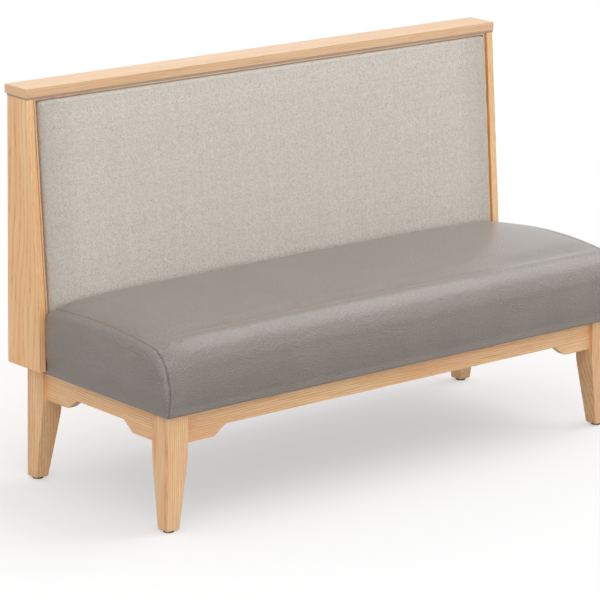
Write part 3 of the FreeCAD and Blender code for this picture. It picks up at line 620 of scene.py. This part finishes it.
def carried(move, places, new_places):
    """Moves of a coarse grid read off at the row and column places of a fine one."""
    rows, columns = places
    closed = np.concatenate([move, move[:, :1]], 1)
    columns = np.append(columns, np.ceil(columns[-1]))
    for axis, (old, new) in enumerate(zip((rows, columns), new_places)):
        at = np.interp(new, old, np.arange(len(old)))
        low = np.minimum(at.astype(int), len(old) - 2)
        share = np.expand_dims(at - low, (1, 2) if axis == 0 else (0, 2))
        closed = np.take(closed, low, axis) * (1 - share) + np.take(closed, low + 1, axis) * share
    return closed


seat_grid, seat_rows, seat_columns = seat_surface(True)
coarse, coarse_rows, coarse_columns = seat_surface(False)
firm = np.where((coarse_columns <= 1) | (coarse_columns >= 5), 1.0, 0.06)[None, :]
sewn = np.isclose(coarse_rows, 3) | np.isclose(coarse_rows, 4)
move = filled_out(coarse, np.maximum(firm, sewn[:, None] * 1.0), most=0.0025)
move = carried(move, (coarse_rows, coarse_columns), (seat_rows, seat_columns))
seat_grid = seat_grid + move

seat_normals = outward(seat_grid)
steps = np.linalg.norm(np.diff(seat_grid, axis=1, prepend=seat_grid[:, :1]), axis=-1)
seat_round = np.cumsum(steps, 1)[[np.argmin(np.abs(seat_rows - 3))]]
to_seam = np.abs(np.abs(seat_grid[..., 0]) - seat_seam)
upper = np.interp(seat_columns, (0.8, 1.2, 4.6, 5.2), (0, 1, 1, 0))
pucker_depth, pucker_reach, pucker_pitch, pucker_drift = 0.0003, 0.010, 0.023, 0.041
wave = np.sin(2 * np.pi * (seat_round / pucker_pitch + 0.7 * np.sin(seat_round / pucker_drift)))
pucker = pucker_depth * (0.5 + 0.5 * wave) * np.exp(-to_seam / pucker_reach)
crease_width, crease_start = 0.0045, 0.008
creases = 0
for start, lean, reach, depth in (
    (0.150, 0.55, 0.050, 0.0007), (0.171, 0.35, 0.065, 0.0009), (0.192, 0.18, 0.055, 0.0006),
    (0.212, -0.10, 0.040, 0.0006), (0.131, 0.60, 0.035, 0.0004),
):
    off_line = (seat_round - start - lean * to_seam) / crease_width
    creases = creases + depth * np.exp(-off_line ** 2 - to_seam / reach) \
        * (1 - np.exp(-to_seam / crease_start))
creases = creases * ((seat_rows > 3) & (seat_rows < 4))[:, None]
on_wrap = ((seat_rows > 1) & (seat_rows < 6))[:, None]
seat_grid = seat_grid - seat_normals * (on_wrap * (pucker + creases) * upper)[..., None]
seat_places = np.stack(np.broadcast_arrays(seat_rows[:, None], seat_columns[None]), -1)
seat_cushion = skin("seat_cushion", seat_grid, seat_places)


def pebble():
    """Pebble grain of the vinyl: rounded cells of mixed size with fine creases between them.

    The row place runs across the cushion; the two turned-in seams, each one unit wide, lie half a
    unit from its middle. Their grooves are painted dark as painted shade, the left one far more
    than the right.
    """
    tree, entry = effect("Pebble grain", {
        "Vinyl": shade(132, 121, 113), "Valley": shade(104, 94, 87), "Rub": shade(147, 136, 128),
        "Painted seam shade": shade(72, 62, 56), "Cells per metre": 290.0, "Row place": middle_row,
    })
    place, row = entry["Vector"], entry["Row place"]
    cells = node(tree, "ShaderNodeTexVoronoi", {
        "Vector": bent(tree, place, (160, 160, 160), (0.003, 0.003, 0.003)),
        "Scale": entry["Cells per metre"], "Smoothness": 0.35,
    }, feature="SMOOTH_F1").outputs["Distance"]
    stone = ranged(tree, cells, 0.1, 0.62, 1.0, 0.0)
    patch = cloudy(tree, place, (210, 210, 210), 3.0)
    broad = cloudy(tree, place, (9, 9, 9))
    height = sums(tree, "MULTIPLY_ADD", patch, 1.6, sums(tree, "MULTIPLY", stone, 0.7))
    hollow = ranged(tree, stone, 0.0, 0.35, 0.18, 0.0)
    colour = mixed(tree, hollow, entry["Vinyl"], entry["Valley"])
    colour = mixed(tree, ranged(tree, patch, 0.42, 0.7, 0.0, 0.2), colour, entry["Rub"])
    colour = mixed(tree, ranged(tree, broad, 0.35, 0.75, 0.0, 0.3), colour, entry["Rub"])
    aside = sums(tree, "ABSOLUTE", sums(tree, "SUBTRACT", row, middle_row))
    # Painted shade: the seams' grooves are darkened, the left one far more than the right.
    turned_in = ranged(tree, aside, 0.4945, 0.4986)
    painted_seam_shade = sums(tree, "MULTIPLY", turned_in, ranged(tree, aside, 0.5, 0.7, 1.0, 0.0))
    painted_seam_shade = sums(tree, "MULTIPLY", painted_seam_shade, ranged(tree, row, 3.2, 3.8, 0.62, 0.05))
    colour = mixed(tree, painted_seam_shade, colour, entry["Painted seam shade"])
    roughness = sums(tree, "ADD", ranged(tree, patch, 0.3, 0.7, 0.33, 0.40),
                     ranged(tree, stone, 0.0, 0.5, 0.10, 0.0))
    return put_out(tree, colour, roughness, height)


def place_and_row(tree):
    """Reads the object's own coordinates, and the row place from the cushion's map."""
    flat = node(tree, "ShaderNodeUVMap", {}, uv_map="Cut").outputs[0]
    row = node(tree, "ShaderNodeSeparateXYZ", {0: flat}).outputs[0]
    return {**own_place(tree), "Row place": row}


seat_cushion.data.materials.append(surface("Taupe vinyl", pebble(), 0.0020, {
    "Specular IOR Level": 0.95, "Coat Weight": 0.85, "Coat Roughness": 0.31,
    "Sheen Weight": 0.12, "Sheen Roughness": 0.4,
}, place_and_row))
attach(seat_cushion, "bench")
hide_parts("seat_cover", "seat_foam")

thread_radius, stitch_length, stitch_pitch, stitch_from_seam = 0.0008, 0.0042, 0.0062, 0.0085


def stitches(name, path, normals):
    """Short rounded stitches laid end to end, with gaps, along a line of points, as one piece."""
    length = np.concatenate([[0], np.cumsum(np.linalg.norm(np.diff(path, axis=0), axis=1))])
    at = np.arange(stitch_pitch, length[-1] - stitch_pitch, stitch_pitch)

    def read(values, places):
        return np.stack([np.interp(places, length, values[:, k]) for k in range(3)], -1)

    centre, up = read(path, at), read(normals, at)
    ahead = read(path, at + 0.001) - read(path, at - 0.001)
    ahead /= np.linalg.norm(ahead, axis=-1, keepdims=True)
    aside, ahead, up = (v[:, None, None] for v in (np.cross(up, ahead), ahead, up))
    shares = np.array([-1.0, -0.8, 0.0, 0.8, 1.0])[:, None, None]
    wide = np.array([0.25, 0.85, 1.0, 0.85, 0.25])[:, None, None] * thread_radius
    sunk = -1.3 * thread_radius * shares ** 4
    turn = np.arange(6)[:, None] * np.pi / 3
    ring = np.cos(turn) * aside + np.sin(turn) * up
    points = centre[:, None, None] + shares * stitch_length / 2 * ahead + sunk * up + wide * ring
    index = np.arange(points.size // 3).reshape(points.shape[:3])
    beside = np.roll(index, -1, 2)
    quads = np.stack([index[:, :-1], beside[:, :-1], beside[:, 1:], index[:, 1:]], -1)
    tips = index[:, 0, ::-1].tolist() + index[:, -1].tolist()
    return shape(name, points, quads.reshape(-1, 4).tolist() + tips)


def spun():
    """Twisted thread: pale strands wound round it, with darker hollows between them."""
    tree, entry = effect("Spun thread", {
        "Strand": shade(204, 193, 183), "Hollow": shade(158, 147, 138),
    })
    twist = cloudy(tree, entry["Vector"], (2600, 2600, 2600), 1.0)
    colour = mixed(tree, ranged(tree, twist, 0.35, 0.65), entry["Strand"], entry["Hollow"])
    return put_out(tree, colour, ranged(tree, twist, 0.2, 0.8, 0.6, 0.8), twist)


thread = surface("Taupe thread", spun(), 0.0001)
sewn_columns = (seat_columns >= 0.3) & (seat_columns <= 4.8)
for side, name in ((-1, "seat_stitches_left"), (1, "seat_stitches_right")):
    row = middle_row + side * (0.5 - stitch_from_seam / (2 * seat_seam))
    low_row = np.searchsorted(seat_rows, row) - 1
    share = (row - seat_rows[low_row]) / (seat_rows[low_row + 1] - seat_rows[low_row])
    line = (seat_grid[low_row] * (1 - share) + seat_grid[low_row + 1] * share)[sewn_columns]
    sewing = stitches(name, line, seat_normals[low_row][sewn_columns])
    sewing.data.materials.append(thread)
    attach(sewing, "bench")


# Dust cover. Black non-woven cloth with small weld dots, stretched under the seat board inside the
# vinyl's hem and held near its edges by zinc-plated staples. It sags a little between the rails.

dust_half, dust_front, dust_rear, dust_level = 0.6745, -0.23925, 0.12575, 0.2841
dust_sag, inner_rail, outer_rail, end_rail = 0.0022, 0.218, 0.262, 0.60
staple_pitch, staple_lift, staple_hold = 0.0613, 0.0002, 14
across, back = np.meshgrid(np.linspace(-1, 1, 121), np.linspace(0, 1, 37), indexing="ij")
aside = np.abs(across) * dust_half
between_rails = np.sin(np.pi * np.clip((aside - outer_rail) / (end_rail - outer_rail), 0, 1)) \
    + np.cos(np.pi / 2 * np.clip(aside / inner_rail, 0, 1))
staple_pull = np.cos(2 * np.pi * across * dust_half / staple_pitch) \
    * np.exp(-np.minimum(back, 1 - back) * staple_hold)
dust_points = np.stack([
    across * dust_half, dust_front + (dust_rear - dust_front) * back,
    dust_level - dust_sag * between_rails * np.sin(np.pi * back) - staple_lift * staple_pull,
], -1)
index = np.arange(across.size).reshape(across.shape)
dust_faces = np.stack([index[:-1, :-1], index[:-1, 1:], index[1:, 1:], index[1:, :-1]], -1)
dust_cover = shape("dust_cover", dust_points, dust_faces.reshape(-1, 4).tolist())


def felted():
    """Non-woven cloth: matted fibres, with the small dots where they are welded."""
    tree, entry = effect("Non-woven cloth", {
        "Fibre": shade(44, 43, 44), "Weld": shade(22, 21, 22),
    })
    place = entry["Vector"]
    matted = cloudy(tree, place, (900, 900, 900), 4.0)
    dots = node(tree, "ShaderNodeTexVoronoi", {"Vector": place, "Scale": 700.0, "Randomness": 0.1})
    weld = ranged(tree, dots.outputs["Distance"], 0.15, 0.3, 1.0, 0.0)
    colour = mixed(tree, weld, mixed(tree, matted, entry["Fibre"], entry["Weld"]), entry["Weld"])
    roughness = ranged(tree, weld, 0.0, 1.0, 0.95, 0.7)
    return put_out(tree, colour, roughness, sums(tree, "SUBTRACT", matted, weld))


dust_cover.data.materials.append(surface("Black dust cloth", felted(), 0.0002))
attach(dust_cover, "bench")
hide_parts("seat_dust_cover")

staple_edge, staple_drop, staple_size = 0.007, 0.0006, np.array([0.0095, 0.0012, 0.0010])
spots = np.array([
    (x, y, 0) for x in np.linspace(-0.645, 0.645, 22)
    for y in (dust_front + staple_edge, dust_rear - staple_edge)
] + [
    (x, y, 1) for y in np.linspace(-0.19, 0.075, 5)
    for x in (staple_edge - dust_half, dust_half - staple_edge)
])
wide = np.where(spots[:, 2:] == 1, staple_size[[1, 0, 2]], staple_size)
spots[:, 2] = dust_level - staple_drop
cube = np.array([(a, b, c) for a in (-0.5, 0.5) for b in (-0.5, 0.5) for c in (-0.5, 0.5)])
cube_faces = np.array([
    (0, 1, 3, 2), (4, 6, 7, 5), (0, 4, 5, 1), (2, 3, 7, 6), (0, 2, 6, 4), (1, 5, 7, 3),
])
staple_faces = (cube_faces + 8 * np.arange(len(spots))[:, None, None]).reshape(-1, 4).tolist()
staples = shape("dust_staples", spots[:, None] + cube * wide[:, None], staple_faces, False)
staples.data.materials.append(zinc)
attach(staples, "bench")


# Back pad. Heathered woven cloth pulled over foam on a plywood board and turned round its edges,
# with soft rolled edges and corners. It hangs on the raked posts, inside the lippings.

pad_upright, pad_depth, pad_half = 0.5188, 0.056, 0.719
pad_height = (pad_upright - pad_depth * math.sin(rake)) / math.cos(rake)
pad_side, pad_roll, pad_crown, pad_corner = 0.032, 0.016, 0.008, 0.014
pad_foot, pad_rear = 0.420, 0.040


def pad_surface():
    """The pad as one grid, and the same grid laid out flat, as its cloth is cut.

    Columns run round its outline, and rows from the middle of its front, out over the roll, down
    the side, and in again behind. Each row is the pad's rectangle drawn in by an inset, with round
    corners, at a thickness: the field's thickness plus a crown, a quarter circle for the roll,
    then the side.
    """
    half = np.array([pad_half, pad_height / 2])

    def outline(inset):
        half_x, half_z = half - inset
        bend = np.clip(pad_corner, 1e-5, max(min(half_x, half_z), 1e-5))
        rise = np.linspace(0, 1, 22)[:-1] * (half_z - bend)
        turn = np.linspace(0, np.pi / 2, 7)[:-1]
        run = np.linspace(-1, 1, 193) * (half_x - bend)
        left = np.stack([np.full(len(rise), -half_x), rise], -1)
        bow = np.stack([-half_x + bend - bend * np.cos(turn),
                        half_z - bend + bend * np.sin(turn)], -1)
        top = np.stack([run, np.full(len(run), half_z)], -1)
        mirror = np.concatenate([left, bow, top[:len(run) // 2]]) * (-1, 1)
        upper = np.concatenate([left, bow, top[:len(run) // 2 + 1], mirror[::-1]])
        return np.concatenate([upper, upper[1:-1][::-1] * (1, -1)])

    field = np.linspace(pad_height / 2, pad_roll, 33)
    swing = np.linspace(np.pi / 2, 0, 9)[1:]
    down = np.linspace(1, 0, 5)[1:]
    behind = np.linspace(0, pad_height / 2, 6)[1:]
    inset = np.concatenate([field, pad_roll * (1 - np.cos(swing)), 0 * down, behind])
    level = np.concatenate([0 * field + pad_roll, pad_roll * np.sin(swing), 0 * down, 0 * behind])
    base = np.concatenate([0 * field + pad_side, 0 * swing + pad_side, pad_side * down, 0 * behind])
    flat = np.stack([outline(d) for d in inset])
    # Near the edges the points crowd towards them, because the roll needs more points.
    crowd_width = 0.055
    to_edge = half - np.abs(flat)
    pressed = 0.45 + 0.55 * np.clip(to_edge / crowd_width, 0, 1)
    x, z = np.moveaxis(np.sign(flat) * (half - to_edge * pressed), -1, 0)
    station = np.clip(1 - np.abs(x) / pad_half, 0, 1)
    full = np.interp(station, (0, 0.022, 0.12, 0.35, 1), (0, 0.24, 0.5, 0.85, 1))
    full = full * np.clip(1 - (z / (pad_height / 2)) ** 2, 0, 1)
    dip, dip_in, dip_reach = 0.22, 0.031, 0.008
    full = full - dip * np.exp(-((pad_half - np.abs(x) - dip_in) / dip_reach) ** 2)
    thick = base[:, None] + level[:, None] + pad_crown * full * (level[:, None] / pad_roll)
    grid = np.stack([x, -thick, z + pad_height / 2], -1)

    lengths = np.linalg.norm(np.diff(np.stack([inset, level + base], -1), axis=0), axis=1)
    steps = np.concatenate([[0], np.cumsum(lengths)])
    last = len(field) - 1
    spread = flat[last]
    away = np.sign(spread) * (np.abs(spread) > half - pad_roll - 1e-6)
    laid = np.where((np.arange(len(inset)) <= last)[:, None, None], flat,
                    spread[None] + away[None] * (steps - steps[last])[:, None, None])
    return grid, laid


def on_posts(grid):
    """The pad's own places turned back by the rake and set on the posts."""
    turned = grid.copy()
    turned[..., 1] = grid[..., 1] * math.cos(rake) + grid[..., 2] * math.sin(rake)
    turned[..., 2] = -grid[..., 1] * math.sin(rake) + grid[..., 2] * math.cos(rake)
    return turned + np.array([0, raked(pad_foot, pad_rear), pad_foot])


pad_grid, pad_cut = pad_surface()
back_pad = skin("back_pad", on_posts(pad_grid), pad_cut)


def weave():
    """Plain weave with uneven yarns: each has its own tone from its number, and slubs along it.

    The place is in metres on the flat cloth. A yarn's height is the half wave across it, raised
    where the sum of the two yarn numbers says that it lies on top. The cloth is painted darker
    towards the pad's two sides, which is painted shade.
    """
    tree, entry = effect("Woven cloth", {
        "Light": shade(248, 241, 230), "Middle": shade(236, 227, 216), "Deep": shade(170, 159, 145),
        "Yarn pitch": 0.0016,
    })
    place = entry["Vector"]
    split = node(tree, "ShaderNodeSeparateXYZ", {0: place}).outputs
    wander = cloudy(tree, place, (120, 120, 1))
    pitches = [sums(tree, "DIVIDE", sums(tree, "MULTIPLY_ADD", wander, 0.0009, split[k]),
                    entry["Yarn pitch"]) for k in (0, 1)]
    numbers = [sums(tree, "FLOOR", v) for v in pitches]
    warp, weft = (sums(tree, "SINE", sums(tree, "MULTIPLY", sums(tree, "FRACT", v), math.pi))
                  for v in pitches)
    parity = sums(tree, "PINGPONG", sums(tree, "ADD", *numbers), 1.0)
    over = sums(tree, "MULTIPLY", warp, sums(tree, "MULTIPLY_ADD", parity, 0.65, 0.35))
    under = sums(tree, "MULTIPLY", weft, sums(tree, "MULTIPLY_ADD", parity, -0.65, 1.0))
    height = sums(tree, "MAXIMUM", over, under)
    tones = [node(tree, "ShaderNodeTexWhiteNoise", {"W": v}, noise_dimensions="1D").outputs[0]
             for v in numbers]
    slub = cloudy(tree, place, (360, 40, 1), 3.0)
    cross_slub = cloudy(tree, place, (40, 360, 1), 3.0)
    heather = cloudy(tree, place, (300, 260, 1), 4.0)
    crossing = node(tree, "ShaderNodeCombineXYZ", {0: numbers[0], 1: numbers[1]}).outputs[0]
    fleck = node(tree, "ShaderNodeTexWhiteNoise", {"Vector": crossing}, noise_dimensions="2D")
    yarn = sums(tree, "MULTIPLY_ADD", tones[0], 0.20, sums(tree, "MULTIPLY", tones[1], 0.16))
    yarn = sums(tree, "MULTIPLY_ADD", ranged(tree, slub, 0.3, 0.7), 0.10, yarn)
    yarn = sums(tree, "MULTIPLY_ADD", ranged(tree, cross_slub, 0.3, 0.7), 0.08, yarn)
    from_middle = sums(tree, "ABSOLUTE", split[0])
    colour = mixed(tree, ranged(tree, yarn, 0.0, 0.54), entry["Light"], entry["Middle"])
    for share in (
        ranged(tree, heather, 0.45, 0.72, 0.0, 0.08),
        ranged(tree, fleck.outputs[0], 0.35, 1.0, 0.0, 0.55),
        # Painted shade: darker towards the pad's two sides.
        ranged(tree, from_middle, pad_half - 0.11, pad_half - 0.02, 0.0, 0.28),
        ranged(tree, height, 0.05, 0.6, 0.3, 0.0),
    ):
        colour = mixed(tree, share, colour, entry["Deep"])
    roughness = ranged(tree, heather, 0.2, 0.8, 0.85, 0.97)
    return put_out(tree, colour, roughness, sums(tree, "MULTIPLY_ADD", heather, 0.8, height))


def cut_place(tree):
    """Reads a pattern's place from where the cloth lay when it was cut."""
    return {"Vector": node(tree, "ShaderNodeUVMap", {}, uv_map="Cut").outputs[0]}


sheen = {"Sheen Weight": 0.25, "Sheen Roughness": 0.5}
back_pad.data.materials.append(surface("Greige cloth", weave(), 0.0005, sheen, cut_place))
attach(back_pad, "bench")
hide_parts("back_cover", "back_foam")


# Floor, light and camera. A plain pale floor, soft light all round, a strong light from the right,
# a low one from the left, and two faint ones, from above and near the right end of the front. The
# camera stands well back, with a long lens.

floor_half = 30.0
floor_corners = np.array([(-1, -1, 0), (1, -1, 0), (1, 1, 0), (-1, 1, 0)]) * floor_half
floor = shape("floor", floor_corners, [(0, 1, 2, 3)], False)
paper = bpy.data.materials.new("Pale floor")
paper.use_nodes = True
tree = paper.node_tree
tree.nodes.clear()
lay = node(tree, "ShaderNodeBsdfDiffuse", {"Color": (0.55, 0.55, 0.55, 1)})
watched = node(tree, "ShaderNodeLightPath").outputs["Is Camera Ray"]
glow = node(tree, "ShaderNodeEmission", {
    "Color": (1, 1, 1, 1), "Strength": sums(tree, "MULTIPLY", watched, 0.425),
})
both = node(tree, "ShaderNodeAddShader", {0: lay.outputs[0], 1: glow.outputs[0]})
node(tree, "ShaderNodeOutputMaterial", {"Surface": both.outputs[0]})
floor.data.materials.append(paper)

sky = bpy.data.worlds.new("Soft light")
sky.use_nodes = True
bpy.context.scene.world = sky
tree = sky.node_tree
seen = node(tree, "ShaderNodeLightPath").outputs
watched = sums(tree, "MAXIMUM", seen["Is Camera Ray"], seen["Is Glossy Ray"])
level = node(tree, "ShaderNodeMapRange", {"Value": watched, "To Min": 0.73, "To Max": 1.0})
backdrop = tree.nodes["Background"]
backdrop.inputs["Color"].default_value = (1, 1, 1, 1)
tree.links.new(level.outputs[0], backdrop.inputs["Strength"])

for name, way, spread, strength in (
    ("broad light", (0.05, -0.30, 0.95), 60, 0.10), ("side light", (0.62, -0.10, 0.78), 42, 0.84),
    ("low light", (-0.62, -0.66, 0.42), 60, 0.70),
):
    lamp = put(name, bpy.data.lights.new(name, "SUN"))
    lamp.data.energy = strength
    lamp.data.angle = math.radians(spread)
    lamp.rotation_euler = Vector(way).to_track_quat("Z", "Y").to_euler()

panel = put("front light", bpy.data.lights.new("front light", "AREA"))
panel.data.energy = 1.3
panel.data.size = 1.2
panel.location = (1.7, -1.6, 0.8)
lit_spot = Vector((0.5, -0.29, 0.40))
panel.rotation_euler = (panel.location - lit_spot).to_track_quat("Z", "Y").to_euler()

camera = put("camera", bpy.data.cameras.new("camera"))
camera.data.sensor_width = 36.0
camera.data.lens = 207.88
camera.data.clip_end = 100.0
camera.matrix_world = Matrix((
    (0.75945282, 0.15556229, -0.63168963, -5.46275),
    (-0.65030511, 0.20883306, -0.73040538, -6.22198),
    (0.01829414, 0.96549942, 0.25976181, 2.61100),
    (0, 0, 0, 1),
))
bpy.context.scene.camera = camera
bpy.context.scene.view_settings.view_transform = "Standard"
